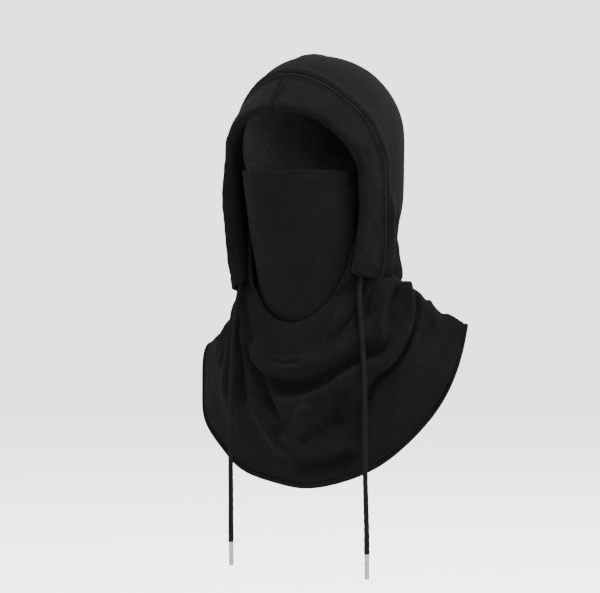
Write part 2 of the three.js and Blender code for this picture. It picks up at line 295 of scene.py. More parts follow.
# ------------------------------------------------------------------ meshes
def new_object(name, vertices, faces, material, body=GARMENT):
    """A smooth mesh object that rides on a body."""
    mesh = bpy.data.meshes.new(name)
    mesh.from_pydata(vertices.reshape(-1, 3).tolist(), [], faces)
    mesh.materials.append(material)
    mesh.update()
    mesh.shade_smooth()
    made = bpy.data.objects.new(name, mesh)
    bpy.context.scene.collection.objects.link(made)
    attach(made, body)
    return made


def grid_faces(rows, columns, start=0, flip=False):
    index = np.arange(rows * columns).reshape(rows, columns) + start
    quads = np.stack([index[:-1, :-1], index[1:, :-1], index[1:, 1:], index[:-1, 1:]], -1).reshape(-1, 4)
    return (quads[:, ::-1] if flip else quads).tolist()


def shell_faces(rows, columns):
    """Faces of a closed sheet: an outer grid, an inner grid and the strips that join their borders."""
    inside = rows * columns
    faces = grid_faces(rows, columns) + grid_faces(rows, columns, inside, True)
    index = np.arange(inside).reshape(rows, columns)
    border = np.concatenate([index[0, :-1], index[:-1, -1], index[-1, :0:-1], index[:0:-1, 0]])
    after = np.roll(border, -1)
    return faces + np.stack([border, after, after + inside, border + inside], -1).tolist()


def shell(name, middle, half, material, body=GARMENT, outwards_from=INSIDE_HOOD):
    """A sheet of cloth round its middle surface. half is half its thickness, or that point by point."""
    normals = grid_normals(middle, outwards_from)
    half = np.broadcast_to(half, middle.shape[:2])[..., None]
    faces = shell_faces(*middle.shape[:2])
    vertices = np.stack([middle + normals * half, middle - normals * half])
    made = new_object(name, vertices, faces, material, body)
    turn_outwards(made)
    return made


def turn_outwards(made):
    """Turns the faces over if the closed mesh is inside out."""
    mesh = made.data
    count = len(mesh.vertices)
    places = np.empty(count * 3)
    mesh.vertices.foreach_get("co", places)
    places = places.reshape(-1, 3)
    mesh.calc_loop_triangles()
    corners = np.empty(len(mesh.loop_triangles) * 3, int)
    mesh.loop_triangles.foreach_get("vertices", corners)
    a, b, c = (places[corners.reshape(-1, 3)[:, k]] for k in range(3))
    if np.einsum("ij,ij->i", a, np.cross(b, c)).sum() < 0:
        mesh.flip_normals()


def rounded_rows(count, rounding):
    """Places from 0 to 1, closer together near both ends, where the cloth's edge is rounded."""
    ends = rounding * np.array([0, 0.08, 0.3, 0.62, 1])
    return np.concatenate([ends, np.linspace(rounding, 1 - rounding, count)[1:-1], 1 - ends[::-1]])


def edge_profile(distance, radius):
    """The cloth's thickness near its edge: 1 inside, and less towards the edge, as a half round has."""
    x = np.clip(distance / radius, 0, 1)
    return np.maximum(np.sqrt(np.maximum(1 - (1 - x) ** 2, 0)), 0.12)


def tube_faces(rows, sides, start=0):
    """Faces of a closed tube: its side and a cap at each end."""
    index = np.arange(rows * sides).reshape(rows, sides) + start
    following = np.roll(index, -1, axis=1)
    faces = np.stack([index[:-1], following[:-1], following[1:], index[1:]], -1).reshape(-1, 4).tolist()
    return faces + [index[0, ::-1].tolist(), index[-1].tolist()]


def tube_mesh(path, sides, radius_of):
    """A tube along a path. radius_of(turn, length) gives its radius round and along it."""
    tangents = unit(np.gradient(path, axis=0))
    side = unit(np.cross(tangents, [0.0, 1.0, 0.25]))
    other = np.cross(tangents, side)
    turn = np.linspace(0, 2 * math.pi, sides, endpoint=False)
    radius = radius_of(turn[None, :], lengths_along(path)[:, None])[..., None]
    ring = np.cos(turn)[None, :, None] * side[:, None] + np.sin(turn)[None, :, None] * other[:, None]
    return path[:, None] + ring * radius, tube_faces(len(path), sides)


STITCH_LENGTH, STITCH_GAP, THREAD_RADIUS = 2.6 * MM, 1.0 * MM, 0.34 * MM


def stitches(name, path, normals):
    """A row of sewn stitches along a path on the cloth."""
    step = STITCH_LENGTH + STITCH_GAP
    centres = at_spacing(path, path, step)
    outs = unit(at_spacing(path, normals, step))
    tangents = unit(np.gradient(centres, axis=0))
    sides = unit(np.cross(tangents, outs))
    along = np.array([-0.5, -0.42, -0.2, 0.2, 0.42, 0.5])
    swell = np.array([0.25, 0.8, 1, 1, 0.8, 0.25])
    rise = THREAD_RADIUS * (0.9 - 4.5 * along ** 2)
    turn = np.linspace(0, 2 * math.pi, 6, endpoint=False)
    vertices, faces = [], []
    for centre, out, tangent, side in zip(centres, outs, tangents, sides):
        faces += tube_faces(len(along), len(turn), len(vertices) * len(along) * len(turn))
        spine = centre + tangent * (along * STITCH_LENGTH)[:, None] + out * rise[:, None]
        ring = np.cos(turn)[None, :, None] * side + np.sin(turn)[None, :, None] * out
        vertices.append(spine[:, None] + ring * (swell * THREAD_RADIUS)[:, None, None])
    new_object(name, np.array(vertices), faces, THREAD)


# ------------------------------------------------------------------ materials
def add_node(tree, kind, **settings):
    """A shader node with its inputs or properties set by name."""
    node = tree.nodes.new(kind)
    for key, value in settings.items():
        if key in node.inputs:
            node.inputs[key].default_value = value
        else:
            setattr(node, key, value)
    return node


def noise(tree, coordinates, scale, detail=3.0, roughness=0.6):
    node = add_node(tree, "ShaderNodeTexNoise", Scale=scale, Detail=detail, Roughness=roughness)
    tree.links.new(coordinates, node.inputs["Vector"])
    return node.outputs["Fac"]


def combine(tree, kind, first, second):
    """A Math node over two sockets or numbers."""
    node = add_node(tree, "ShaderNodeMath", operation=kind)
    for socket, value in zip(node.inputs, (first, second)):
        if isinstance(value, (int, float)):
            socket.default_value = value
        else:
            tree.links.new(value, socket)
    return node.outputs[0]


def new_shader(name):
    """A new material, its node tree, its main shader and its object coordinates."""
    made = bpy.data.materials.new(name)
    made.use_nodes = True
    coordinates = add_node(made.node_tree, "ShaderNodeTexCoord").outputs["Object"]
    return made, made.node_tree, made.node_tree.nodes["Principled BSDF"], coordinates


def colour_ramp(tree, shader, value, dark, light, start=0.0, end=1.0):
    """Colours the shader from dark to light as a value goes from start to end."""
    ramp = add_node(tree, "ShaderNodeValToRGB")
    first, last = ramp.color_ramp.elements
    first.position, last.position = start, end
    first.color, last.color = (*dark, 1), (*light, 1)
    tree.links.new(value, ramp.inputs["Fac"])
    tree.links.new(ramp.outputs["Color"], shader.inputs["Base Color"])


def bump_map(tree, shader, height, strength, distance):
    bumped = add_node(tree, "ShaderNodeBump", Strength=strength, Distance=distance)
    tree.links.new(height, bumped.inputs["Height"])
    tree.links.new(bumped.outputs["Normal"], shader.inputs["Normal"])


def cloth_material(name, dark, light, pile, fibre, bump, sheen, roughness=0.95, rib=None):
    """Brushed cloth: clumps of pile and single fibres vary its colour and its surface.

    pile, fibre and rib say how many clumps, fibres or ribs there are to a metre.
    """
    made, tree, shader, coordinates = new_shader(name)
    clumps = noise(tree, coordinates, pile, 4.0, 0.62)
    fibres = noise(tree, coordinates, fibre, 2.0, 0.7)
    patches = noise(tree, coordinates, pile / 14, 2.0)
    fine = combine(tree, "MULTIPLY", fibres, 0.3)
    mixed = combine(tree, "ADD", combine(tree, "MULTIPLY", clumps, 0.5), fine)
    mixed = combine(tree, "ADD", mixed, combine(tree, "MULTIPLY", patches, 0.2))
    colour_ramp(tree, shader, mixed, dark, light, 0.3, 0.72)
    height = combine(tree, "ADD", clumps, combine(tree, "MULTIPLY", fibres, 0.45))
    if rib:
        wave = add_node(tree, "ShaderNodeTexWave", Scale=rib, Distortion=1.2, bands_direction="Z")
        tree.links.new(coordinates, wave.inputs["Vector"])
        height = combine(tree, "ADD", height, combine(tree, "MULTIPLY", wave.outputs["Fac"], 0.35))
    bump_map(tree, shader, height, bump, 1.2 * MM)
    shader.inputs["Roughness"].default_value = roughness
    shader.inputs["Specular IOR Level"].default_value = 0.02
    shader.inputs["Sheen Weight"].default_value = sheen
    shader.inputs["Sheen Roughness"].default_value = 0.5
    shader.inputs["Sheen Tint"].default_value = (0.75, 0.75, 0.78, 1)
    return made


def metal_material():
    """Dull plated metal, tarnished in patches and scratched along its length."""
    made, tree, shader, coordinates = new_shader("aglet_metal")
    stretch = add_node(tree, "ShaderNodeMapping")
    stretch.inputs["Scale"].default_value = (1, 1, 0.06)
    tree.links.new(coordinates, stretch.inputs["Vector"])
    scratches = noise(tree, stretch.outputs["Vector"], 5200, 3.0)
    tarnish = noise(tree, coordinates, 260, 3.0)
    rough = combine(tree, "ADD", combine(tree, "MULTIPLY", scratches, 0.22),
                    combine(tree, "MULTIPLY", tarnish, 0.2))
    tree.links.new(combine(tree, "ADD", rough, 0.12), shader.inputs["Roughness"])
    colour_ramp(tree, shader, tarnish, (0.11, 0.10, 0.085), (0.21, 0.20, 0.175))
    bump_map(tree, shader, scratches, 0.15, 0.2 * MM)
    shader.inputs["Metallic"].default_value = 1.0
    return made


def grey(level):
    """A grey that is very slightly blue."""
    return (level, level, level * 1.03)


WORN_AND_HIGHLIT_FLEECE = cloth_material("outer_fleece_worn_and_highlit", grey(0.0016), grey(0.0064), pile=560, fibre=3600,
                             bump=0.8, sheen=0.01)  # for the seams: lighter partly because they rub lighter, partly as a painted highlight on their raised ridges
FLEECE = cloth_material("outer_fleece", grey(0.0007), grey(0.0042), pile=560, fibre=3600, bump=0.8,
                        sheen=0.005)
SHERPA = cloth_material("lining_fleece", grey(0.004), grey(0.028), pile=300, fibre=1500, bump=1.0,
                        sheen=0.08)
MASK_CLOTH = cloth_material("mask_cloth", grey(0.0014), grey(0.0042), pile=900, fibre=5200, bump=0.3,
                            sheen=0.004)
THREAD = cloth_material("sewing_thread", grey(0.003), grey(0.009), pile=2400, fibre=9000, bump=0.3,
                        sheen=0.01, roughness=0.8)
KNIT = cloth_material("cord_knit", grey(0.0012), grey(0.0055), pile=1500, fibre=6000, bump=0.5, sheen=0.006,
                      roughness=0.9)
ELASTIC = cloth_material("nape_elastic", grey(0.004), grey(0.010), pile=900, fibre=5000, bump=0.4,
                         sheen=0.03, roughness=0.85, rib=260)
METAL = metal_material()


# ------------------------------------------------------------------ camera
VIEW_AZIMUTH, VIEW_ELEVATION = 28.0, -1.0
VIEW_DISTANCE = 1.487
LENS = 85
VIEW_AIM = (-0.013, -0.247)  # the aimed point, across the view from the centre plane, and its height


def aim_camera():
    azimuth, elevation = math.radians(VIEW_AZIMUTH), math.radians(VIEW_ELEVATION)
    back = Vector((math.sin(azimuth) * math.cos(elevation), -math.cos(azimuth) * math.cos(elevation),
                   math.sin(elevation)))
    across = Vector((math.cos(azimuth), math.sin(azimuth), 0))
    data = bpy.data.cameras.new("camera")
    data.lens = LENS
    camera = bpy.data.objects.new("camera", data)
    bpy.context.scene.collection.objects.link(camera)
    camera.location = across * VIEW_AIM[0] + Vector((0, 0, VIEW_AIM[1])) + back * VIEW_DISTANCE
    camera.rotation_euler = back.to_track_quat("Z", "Y").to_euler()
    bpy.context.scene.camera = camera


# ------------------------------------------------------------------ drawcord
def braid(turn, length):
    """The radius of a tubular knit: two families of strands cross, on an oval that twists slowly."""
    strands = 5
    wide, narrow, relief = 2.8, 2.35, 0.16  # half widths of the oval and a strand's height, in mm
    advance = length / (1.5 * MM)
    twist = turn - 0.5 * np.sin(length / (55 * MM)) - length / (120 * MM)
    oval = 1 / np.sqrt((np.cos(twist) / wide) ** 2 + (np.sin(twist) / narrow) ** 2)
    crossing = np.maximum(np.cos(strands * turn + advance), np.cos(strands * turn - advance))
    return (oval + relief * crossing) * MM


def free_cord(side, route):
    """One free end of the drawcord, with its aglet."""
    path = spline(np.array(route) * MM, np.linspace(0, 1, 700))
    vertices, faces = tube_mesh(path, 30, braid)
    made = new_object(f"Drawcord_{side}", vertices, faces, KNIT, f"cord_end_{side}")
    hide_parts(f"drawcord_{side}")
    tip = aglet(side, path)


# Along an aglet 25 mm long: places and radii in mm, from its mouth, past two crimps, to its rounded end.
AGLET_OUTLINE = [
    (0, 2.2), (0.2, 2.45), (0.6, 2.5), (1.2, 2.42), (3, 2.4),
    (5.4, 2.4), (6, 2.3), (6.6, 2.18), (7.2, 2.3), (8, 2.4),
    (12, 2.4), (17, 2.4), (17.8, 2.3), (18.4, 2.18), (19, 2.3), (19.6, 2.4),
    (22, 2.4), (23.8, 2.38), (24.5, 2.15), (24.9, 1.6), (25, 0.9),
]
CRIMPS = (0.265, 0.735)  # as shares of the aglet's length


def aglet(side, path):
    """A rolled metal tip, crimped in two places, with a rounded mouth and end."""
    low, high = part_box(f"aglet_{side}")
    length = float(high[2] - low[2])
    axis = unit(path[-1] - path[-20])
    place, radius = np.array(AGLET_OUTLINE).T
    stations = path[-1] + axis * 0.1 * MM + axis * (place / place[-1] * length)[:, None]

    def radius_of(turn, along):
        flattened = sum(bell(along - crimp * length, 1.4 * MM) for crimp in CRIMPS)
        return (radius * MM)[:, None] * (1 - 0.05 * flattened * (1 + np.cos(4 * turn)))

    vertices, faces = tube_mesh(stations, 32, radius_of)
    made = new_object(f"Aglet_{side}", vertices, faces, METAL, f"cord_end_{side}")
    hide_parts(f"aglet_{side}")
    return made


aim_camera()
free_cord("left", LEFT_CORD)
free_cord("right", RIGHT_CORD)


# ------------------------------------------------------------------ hood
CROWN_GROOVE = 1.8 * MM

# Folds beside the neck: height and two widths as for the cape, then its course as y and z in mm.
HOOD_FOLDS = [
    (5.5, 8, 5, [(2, -140), (5, -160), (9, -180), (13, -200), (14, -240)]),
    (-4.0, 6, 6, [(24, -160), (28, -180), (30, -200), (30, -240)]),
    (3.0, 7, 7, [(44, -188), (47, -206), (50, -236)]),
    (-3.0, 6, 6, [(62, -184), (64, -206), (64, -236)]),
]


def hood_lift(base, side):
    """How far the cloth stands off the head form: soft unevenness, and the gathers and roll at the nape."""
    x, y, z = base[..., 0], base[..., 1], base[..., 2]
    off_seam = smooth(x, 0.0, 0.02)
    nape = smooth(z, -0.155, -0.215) * smooth(y, 0.01, 0.05)
    round_nape = np.degrees(np.arctan2(x, y - CENTRE_Y))
    uneven = 1.3 * MM * waves(y * 42, z * 34, 11 if side > 0 else 12)
    gathers = 1.3 * MM * np.sin(round_nape * 0.3 + 2.0 * np.sin(z * 60 + side)) * nape
    pinch = -7 * MM * bell(z + 0.187, 0.026) * smooth(y, 0.02, 0.07)
    roll = 7 * MM * bell(z + 0.223, 0.015) * smooth(y, 0.0, 0.06)
    folds = sum(fold_height(y, z, (*fold[:3], np.array(fold[3]) * MM)) for fold in HOOD_FOLDS)
    return (uneven + gathers) * off_seam + pinch + roll + relaxed(folds, 2) * smooth(x, 0.0, 0.03)


def hood_surface(u, v, side, label):
    """The hood's outer face. It puffs up beside the brim seam and turns in at its lower edge."""
    chart = hood_chart(u, v)
    base = head_point(chart)
    from_seam = np.linalg.norm(base - head_point(spline(HOOD_SEAM, u)), axis=-1)
    puff = 2.4 * MM * bell(from_seam - 6.5 * MM, 4.5 * MM) - 1.2 * MM * bell(from_seam, 2.2 * MM)
    groove = -CROWN_GROOVE * bell(base[..., 0], 3 * MM) * smooth(base[..., 1], -0.05, -0.03)
    tuck = -2.5 * MM * smooth(u, 0.98, 1.0) ** 2
    return head_point(chart, hood_lift(base, side) + puff + groove + tuck + cheek(base[..., 2], label))


def hood_panel(side, label):
    rows, columns = rounded_rows(150, 0.02), rounded_rows(130, 0.02)
    u, v = np.meshgrid(0.003 + 0.997 * rows, 0.006 + 0.991 * columns, indexing="ij")
    middle = worn(hood_surface(u, v, side, label), side)
    from_edge = np.minimum.outer(np.minimum(rows, 1 - rows) * 0.27, np.minimum(columns, 1 - columns) * 0.2)
    half = 1.1 * MM * edge_profile(from_edge, 2.2 * MM)
    made = shell(f"Hood_{label}", middle, half, FLEECE)
    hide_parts(f"hood_{label}")


def hood_lining(side, label):
    u, v = np.meshgrid(np.linspace(0.003, 0.99, 150), np.linspace(0.03, 1.0, 130), indexing="ij")
    outer = worn(hood_surface(u, v, side, label), side)
    middle = outer - grid_normals(outer, INSIDE_LINING) * 3.4 * MM
    made = shell(f"Hood_lining_{label}", middle, 1.0 * MM, SHERPA)
    add_lumps(made, 5.5 * MM, 1.6 * MM)
    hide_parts(f"hood_lining_{label}")


def add_lumps(made, size, strength):
    """Curls of deep pile, as real bumps in the surface."""
    texture = bpy.data.textures.new(made.name + "_pile", "CLOUDS")
    texture.noise_scale = size
    texture.noise_depth = 2
    lumps = made.modifiers.new("pile", "DISPLACE")
    lumps.texture = texture
    lumps.strength = strength
    lumps.mid_level = 0.5
    lumps.texture_coords = "LOCAL"


# Across the felled seam, in mm: places, and how far the cloth rises there. A ridge runs on each side.
SEAM_PLACES = [-4.2, -3.8, -3.2, -2.4, -1.6, -0.8, 0, 0.8, 1.6, 2.4, 3.2, 3.8, 4.2]
SEAM_RISE = [-2.4, -0.8, 1.6, 3.1, 2.4, 0.2, -1.2, 0.2, 2.4, 3.1, 1.6, -0.8, -2.4]
SEAM_SINK = 0.8 * MM


def crown_seam():
    """The felled seam from the brim to the nape: a narrow raised strip with stitches on each side."""
    angles = np.linspace(BRIM_SEAM_TOP + 1.5, NAPE_ANGLE - 1, 300)
    angle, offset = np.meshgrid(angles, np.array(SEAM_PLACES) * MM, indexing="ij")
    chart = chart_angle(angle)
    lift = hood_lift(head_point(chart), 1) + 0.2 * MM * waves(angle * 0.9, offset * 0, 5)
    points = worn(head_point(chart, lift + np.array(SEAM_RISE) * MM - SEAM_SINK), 1)
    points[..., 0] = offset
    # its lighter cloth is partly rubbed wear and partly a painted highlight on the strip's ridges
    made = shell("Centre_seam", points, 0.5 * MM, WORN_AND_HIGHLIT_FLEECE)
    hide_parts("crown_seam")
    out = unit(head_point(chart_angle(angles), 1.0) - head_point(chart_angle(angles)))
    for name, column in (("left", 10), ("right", 2)):
        stitches(f"Centre_stitches_{name}", points[:, column] + out * 0.4 * MM, out)


# ------------------------------------------------------------------ brim
ROLL = 5.2 * MM  # radius of the fold at the brim's free edge
BRIM_START = 0.4 * MM  # from the seam to where the strip starts
TOPSTITCH = 6 * MM  # from the seam to the row of stitches


def extended(line, extra):
    """A line with one more place, in mm, at its lower end."""
    return np.vstack([line, [chart_place(*extra)]])


BRIM_LINES = {
    "left": (extended(SEAM_LINE, (1, -231)), extended(EDGE_LINE, (-42, -225))),
    "right": (extended(SEAM_LINE, (3, -236)), extended(EDGE_LINE, (-40, -235))),  # hangs a little lower
}


def brim_frame(u, label):
    """Along the brim: its seam, the directions across and out of it, and its width."""
    seam_line, edge_line = BRIM_LINES[label]
    start, end = spline(seam_line, u), spline(edge_line, u)
    seam, edge = head_point(start), head_point(end)
    across = edge - seam
    width = np.linalg.norm(across, axis=-1, keepdims=True)
    across = across / width
    middle = (start + end) / 2
    out = head_point(middle, 1.0) - head_point(middle)
    out = unit(out - across * (out * across).sum(-1, keepdims=True))
    return seam, across, out, width[..., 0]


def brim_section(u, s, label):
    """Along and height of the folded strip: s is 0..1 outside, 1..2 round the fold, 2..3 back inside."""
    seam, _, _, width = brim_frame(u, label)
    roll = ROLL * (1 - 0.15 * smooth(u, 0.8, 1.0))
    flat = width - roll - BRIM_START
    turn = np.clip(s - 1, 0, 1) * math.pi
    along = BRIM_START + flat * (np.clip(s, 0, 1) - np.clip(s - 2, 0, 1)) + roll * np.sin(turn)
    share = np.clip(along / width, 0, 1)
    outside = s < 1
    upper = s < 2
    fold = roll * (np.cos(turn) - 1) + cheek(seam[..., 2], label) * (1 + np.cos(turn)) / 2
    puff = (2.4 * MM * np.sin(share * math.pi) ** 0.7 - 0.8 * MM * bell(along, 1.6 * MM)) * upper
    bead = 0.8 * MM * bell(along - 2.6 * MM, 1.4 * MM) * outside
    groove = -0.9 * MM * bell(along - TOPSTITCH, 0.9 * MM) * outside
    pucker = 2.0 * MM * np.sin(u * 150 + 4 * along / width) * bell(u, 0.05) * np.sin(share * math.pi)
    ripples = 0.9 * MM * waves(u * 60, along / width * 5, 21 if label == "left" else 22)
    crown_dip = -1.3 * MM * bell(u, 0.010)
    return along, fold + puff + bead + groove + (pucker + ripples + crown_dip) * np.where(upper, 1, 0.3)


def brim_point(u, s, side, label):
    seam, across, out, _ = brim_frame(u, label)
    along, height = brim_section(u, s, label)
    return worn(seam + across * along[..., None] + out * height[..., None], side)


def brim(side, label):
    """One side of the brim, and the stitches that hold its tunnel."""
    half = 0.95 * MM
    inside = (side * 0.03, 0.0, -0.15)
    u = rounded_rows(230, 0.012) * 0.9985 + 0.0012
    s = np.concatenate([np.linspace(0, 1, 46), np.linspace(1, 2, 26)[1:], np.linspace(2, 3, 26)[1:]])
    along_brim, round_fold = np.meshgrid(u, s, indexing="ij")
    outer = brim_point(along_brim, round_fold, side, label)
    middle = outer - grid_normals(outer, inside) * half
    from_end = np.minimum((u - u[0]) * 2.2, u[-1] - u) * 0.26
    thickness = half * edge_profile(from_end, 1.2 * MM)[:, None]
    made = shell(f"Brim_{label}", middle, thickness, FLEECE, outwards_from=inside)
    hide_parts(f"brim_{label}")
    row = np.linspace(0.02, 0.99, 300)
    _, _, out, width = brim_frame(row, label)
    place = (TOPSTITCH - 1 * MM) / (width - ROLL - 1 * MM)
    line = brim_point(row, place, side, label)
    stitches(f"Brim_topstitch_{label}", line, out * np.array([side, 1, 1]))


def seam_welt(side, label):
    """The seam allowance shows as a soft cord of cloth between the hood and the brim."""
    u = np.linspace(0.006, 0.985, 420)
    seam, across, out, _ = brim_frame(u, "left")
    proud = (0.2 + 1.0 * smooth(u, 0.4, 0.65)) * MM + cheek(seam[:, 2], label)
    path = worn(seam - across * 0.3 * MM + out * proud[:, None], side)

    def radius_of(turn, along):
        return (1.6 + 0.12 * np.sin(along / (3.1 * MM)) + 0.08 * np.sin(along / (1.3 * MM) + turn)) * MM

    vertices, faces = tube_mesh(path, 14, radius_of)
    # its lighter cloth is partly rubbed wear and partly a painted highlight along the cord
    made = new_object(f"Seam_welt_{label}", vertices, faces, WORN_AND_HIGHLIT_FLEECE)
    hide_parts(f"seam_welt_{label}")


def held_cord():
    """The stretch of cord inside the brim, hidden by it. On the wearer's right it ends nearer the edge."""
    u = np.linspace(0.872, 0.012, 160)
    over_crown = 0.725
    halves = []
    for side, at_mouth in ((1, 0.65), (-1, 0.8)):
        seam, across, out, width = brim_frame(u, "left")
        along = (over_crown + (at_mouth - over_crown) * u) * width
        points = worn(seam + across * along[:, None] - out * 5.5 * MM, side)
        halves.append(points if side > 0 else points[::-1])
    vertices, faces = tube_mesh(np.vstack(halves), 16, lambda turn, along: 2.3 * MM + 0 * turn * along)
    made = new_object("Drawcord_held", vertices, faces, KNIT)
    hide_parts("drawcord_held")


# ------------------------------------------------------------------ cape
DEGREE = 1.8 * MM  # how far one degree round the cape is, about half way down
DEPTH = 172 * MM  # from the neckline to the front hem
FOLD_DEPTH = 1.35  # the heights below are those of a cape hanging slack; worn, it bunches up this much more

# Folds of the cape: height in mm, widths in mm on the right-hand and left-hand side of the way it runs,
# then its course as degrees round the cape and share of its depth. Angles grow towards the wearer's left.
FOLDS = [
    (7.0, 13, 12, [(-44, 0.16), (-25, 0.24), (-8, 0.275), (8, 0.28), (26, 0.27), (42, 0.25), (58, 0.22)]),
    (-9.0, 7, 8, [(-26, 0.30), (-12, 0.35), (4, 0.385), (19, 0.378), (32, 0.35), (44, 0.36), (54, 0.42)]),
    (8.5, 24, 7, [(-14, 0.48), (-4, 0.477), (6, 0.47), (16, 0.437), (28, 0.40), (39, 0.395), (50, 0.45)]),
    (9.0, 5, 20, [(98, 0.08), (87, 0.24), (76, 0.37), (65, 0.435), (54, 0.465), (44, 0.47)]),
    (-7.5, 4, 4, [(102, 0.10), (92, 0.27), (80, 0.42), (68, 0.495), (56, 0.53), (44, 0.535), (37, 0.6),
                  (33, 0.7)]),
    (-6.5, 4.5, 6, [(-34, 0.18), (-30, 0.27), (-24, 0.335), (-13, 0.49), (-3, 0.58)]),
    (7.0, 4.5, 11, [(12, 0.49), (7, 0.54), (2, 0.62), (-6, 0.71)]),
    (4.5, 6, 12, [(-23, 0.52), (-17, 0.6), (-10, 0.715), (-2, 0.80)]),
    (-6.5, 7, 7, [(29, 0.44), (25, 0.54), (20, 0.65)]),
    (6.0, 13, 6, [(2, 0.735), (9, 0.705), (17, 0.695), (28, 0.735)]),
    (-6.0, 9, 7, [(-2, 0.83), (8, 0.845), (17, 0.85), (27, 0.82)]),
    (-2.6, 3, 3, [(-20, 0.2), (-11, 0.24), (0, 0.25), (10, 0.24)]),
    (-2.4, 3, 3, [(-18, 0.26), (-9, 0.305), (0, 0.315), (9, 0.305)]),
    (6.5, 5, 7, [(100, 0.03), (86, 0.10), (73, 0.155), (62, 0.22), (56, 0.31), (52, 0.4)]),
    (-5.0, 4, 4, [(96, 0.01), (82, 0.04), (68, 0.09), (58, 0.15), (52, 0.22)]),
    (-3.5, 5, 6, [(98, 0.06), (90, 0.14), (80, 0.21), (69, 0.28), (63, 0.35)]),
    (-3.5, 4, 4, [(68, -0.02), (55, 0.07), (44, 0.13), (34, 0.17)]),
    (3.5, 5, 7, [(60, -0.03), (48, 0.05), (36, 0.11), (26, 0.15)]),
    (-3.0, 4, 4, [(48, 0.16), (42, 0.22), (37, 0.29)]),
    (-3.0, 4, 5, [(-62, 0.0), (-46, 0.10), (-34, 0.16), (-24, 0.19)]),
    (3.0, 6, 6, [(-58, 0.07), (-44, 0.16), (-33, 0.21)]),
    (-5.0, 6, 7, [(-54, 0.1), (-47, 0.22), (-39, 0.36), (-34, 0.5), (-30, 0.62)]),
    (5.0, 9, 9, [(-64, 0.06), (-58, 0.25), (-51, 0.45), (-45, 0.7)]),
    (-4.0, 7, 7, [(-76, 0.06), (-71, 0.35), (-65, 0.6)]),
    (4.0, 8, 8, [(-88, 0.1), (-84, 0.35), (-79, 0.7)]),
    (3.5, 8, 10, [(90, 0.46), (84, 0.56), (79, 0.72)]),
    (-3.0, 7, 7, [(98, 0.44), (93, 0.56), (89, 0.75)]),
    (4.5, 14, 12, [(128, 0.1), (122, 0.4), (118, 0.8)]),
    (-4.5, 12, 12, [(146, 0.1), (143, 0.4), (140, 0.9)]),
    (5.0, 13, 13, [(163, 0.08), (164, 0.4), (162, 0.9)]),
    (-4.5, 12, 12, [(181, 0.1), (182, 0.5), (184, 0.9)]),
    (5.0, 13, 13, [(199, 0.1), (202, 0.4), (204, 0.85)]),
    (-4.5, 12, 12, [(218, 0.1), (222, 0.4), (224, 0.85)]),
    (4.5, 13, 13, [(238, 0.1), (242, 0.4), (246, 0.85)]),
    (-4.0, 10, 10, [(255, 0.1), (257, 0.4), (259, 0.8)]),
]


def around(angle):
    """The same angle, between -180 and 180."""
    return (angle + 180) % 360 - 180


def cape_base(angle, depth):
    """The cape without its folds: it follows the three profiles and tilts down to the wearer's right."""
    sine, cosine = np.sin(np.radians(angle)), np.cos(np.radians(angle))
    depth = np.broadcast_to(depth, angle.shape)
    square = 0.95 + 0.05 * np.minimum(depth * 2, 1)
    dip = 1.0 + 2.5 * (1 - np.clip(depth, 0, 1)) ** 8
    level = np.abs(cosine) * (1 - np.exp(-np.abs(cosine) * 9))
    middle = np.where((cosine > 0)[..., None], spline(CAPE_FRONT, depth), spline(CAPE_BACK, depth)) * MM
    flank = spline(CAPE_SIDE, depth) * MM
    reach_y = np.abs(cosine) ** square
    raised = LEFT_RISE * smooth(depth, 0.15, 0.55)
    lowered = RIGHT_DROP * smooth(depth, 0.0, 0.3) + RIGHT_NECK_DROP * bell(depth - 0.27, 0.13)
    tilt = np.where(sine > 0, raised, -lowered) * sine ** 2
    turned = np.abs(around(angle))
    behind_shoulder = 1 - 0.17 * bell(turned - 125, 28) * smooth(depth, 0.3, 1.0)
    behind_shoulder = behind_shoulder + 0.11 * bell(turned - 108, 22) * smooth(depth, 0.3, 0.0)
    return np.stack([
        flank[..., 0] * np.sign(sine) * np.abs(sine) ** square * behind_shoulder,
        flank[..., 1] + (middle[..., 1] - flank[..., 1]) * reach_y,
        flank[..., 2] + (middle[..., 2] - flank[..., 2]) * level ** dip + tilt], -1)


def cape_lift(angle, depth):
    """How far the cloth's unevenness and folds stand out, fading towards the neckline and the hem."""
    lift = 1.0 * MM * waves(angle * 0.11, depth * 9, 31) + 0.35 * MM * waves(angle * 0.5, depth * 34, 32)
    for height, first_width, second_width, course in FOLDS:
        scaled = np.array(course) * np.array([DEGREE, DEPTH])
        fold = (height, first_width, second_width, scaled)
        lift = lift + fold_height(angle * DEGREE, depth * DEPTH, fold)
    near_hem = 1 - 0.7 * smooth(depth, 0.86, 0.99)
    return FOLD_DEPTH * relaxed(lift, 5) * smooth(depth, -0.02, 0.14) * near_hem


def neck_place(angle, depth, above=0.0):
    """A place on the cape, or above its neckline inside the hood."""
    place = cape_base(angle, depth)
    place[..., 2] += above
    place[..., 0] *= 1 - 0.6 * above - 0.05 * (1 - np.exp(-above / 0.008))
    place[..., 1] -= above * 0.05
    return place


def cape_surface(angle, depth):
    """The cape's outer face, drawn in along the hem's stitches."""
    base = neck_place(angle, depth, np.maximum(-depth, 0) * DEPTH)
    normals = grid_normals(base, INSIDE_CAPE)
    from_hem = (1 - depth) * DEPTH
    stitched = -0.9 * MM * bell(from_hem - HEM, 1.2 * MM)
    fullness = 1.0 * MM * smooth(from_hem, HEM, HEM * 0.6)
    flutter = 1.6 * MM * np.sin(angle * 0.21 + 1.0) * smooth(depth, 0.6, 1.0)
    lift = cape_lift(angle, np.maximum(depth, 0))
    return base + normals * (lift + stitched + fullness + flutter)[..., None]


